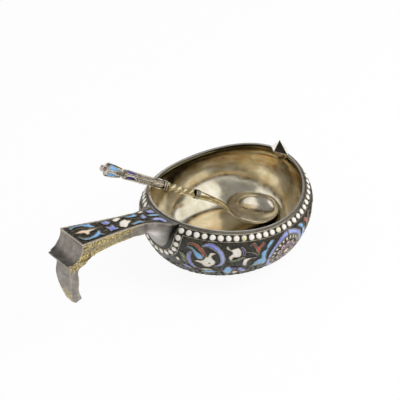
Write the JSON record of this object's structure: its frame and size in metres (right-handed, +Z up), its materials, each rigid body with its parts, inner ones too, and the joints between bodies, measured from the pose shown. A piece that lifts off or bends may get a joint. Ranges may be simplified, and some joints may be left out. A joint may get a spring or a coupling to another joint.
{
  "type": "kovsh with spoon",
  "caption": "Small enamelled kovsh, a boat-shaped drinking bowl with a hook handle and pinched prow, with the twisted-stem spoon that rests in it.",
  "frame": {"origin": "centre of the flat foot, on the surface that the kovsh stands on", "axes": "+X to the prow, away from the handle; +Z up; the bowl and handle are symmetric about the XZ plane"},
  "size_m": [0.1406, 0.0784, 0.0492],
  "materials": {
    "cloison_wire": "fine silver wire with dark tarnish in its corners",
    "enamel_black": "opaque dark enamel ground, stippled with fine wire curls",
    "enamel_cream": "opaque cream enamel with a peach tone",
    "enamel_dark_blue": "opaque dark blue enamel",
    "enamel_green": "opaque leaf green enamel",
    "enamel_lavender": "opaque lavender enamel",
    "enamel_light_blue": "opaque light blue enamel",
    "enamel_mauve": "opaque mauve enamel",
    "enamel_red": "opaque brick red enamel",
    "enamel_white": "opaque warm white enamel",
    "gilt_bowl": "worn silver-gilt, polished inside, tarnished to olive brown high on the wall",
    "gilt_silver": "silver-gilt worn back to silver, pitted",
    "silver_edge": "bright worn silver edge",
    "spoon_gilt": "satin silver-gilt",
    "spoon_silver": "grey silver with worn gilding"
  },
  "bodies": {
    "kovsh": {"band_ground": "enamel_black", "band_lower_wire": "cloison_wire", "band_upper_wire": "cloison_wire", "bowl_shell": "gilt_bowl", "handle_blue_leaves": "enamel_light_blue", "handle_blue_scrolls": "enamel_light_blue", "handle_cream_spear": "enamel_cream", "handle_ground": "enamel_black", "handle_hook": "gilt_silver", "handle_lavender_trefoils": "enamel_lavender", "handle_white_palmette": "enamel_white", "panel_blue_leaves": "enamel_light_blue", "panel_dark_blue_cups": "enamel_dark_blue", "panel_foot_wire": "cloison_wire", "panel_green_leaves": "enamel_green", "panel_ground": "enamel_black", "panel_lavender_scrolls": "enamel_lavender", "panel_peach_petals": "enamel_cream", "panel_red_leaves": "enamel_red", "panel_white_petals": "enamel_white", "prow_beak": "gilt_silver", "rim_beads": "enamel_white", "rim_wire": "silver_edge", "root_beads": "enamel_white", "root_wires": "cloison_wire", "roundel_borders": "enamel_lavender", "roundel_dots": "enamel_white", "roundel_eyes": "enamel_mauve", "roundel_petals": "enamel_mauve", "roundel_wires": "cloison_wire"},
    "spoon": {"spoon_bowl": "spoon_gilt", "spoon_end_knob": "spoon_silver", "spoon_finial": "spoon_silver", "spoon_finial_cells": "enamel_light_blue", "spoon_lower_collar": "spoon_gilt", "spoon_neck": "spoon_gilt", "spoon_twisted_stem": "spoon_gilt", "spoon_upper_collar": "spoon_gilt", "spoon_upper_stem": "spoon_silver"}
  },
  "joints": [
    {"name": "spoon_lift", "type": "slide", "parent": "kovsh", "child": "spoon", "axis": [-0.2929, 0.176, 0.9398], "range_m": [0, 0.08]}
  ]
}
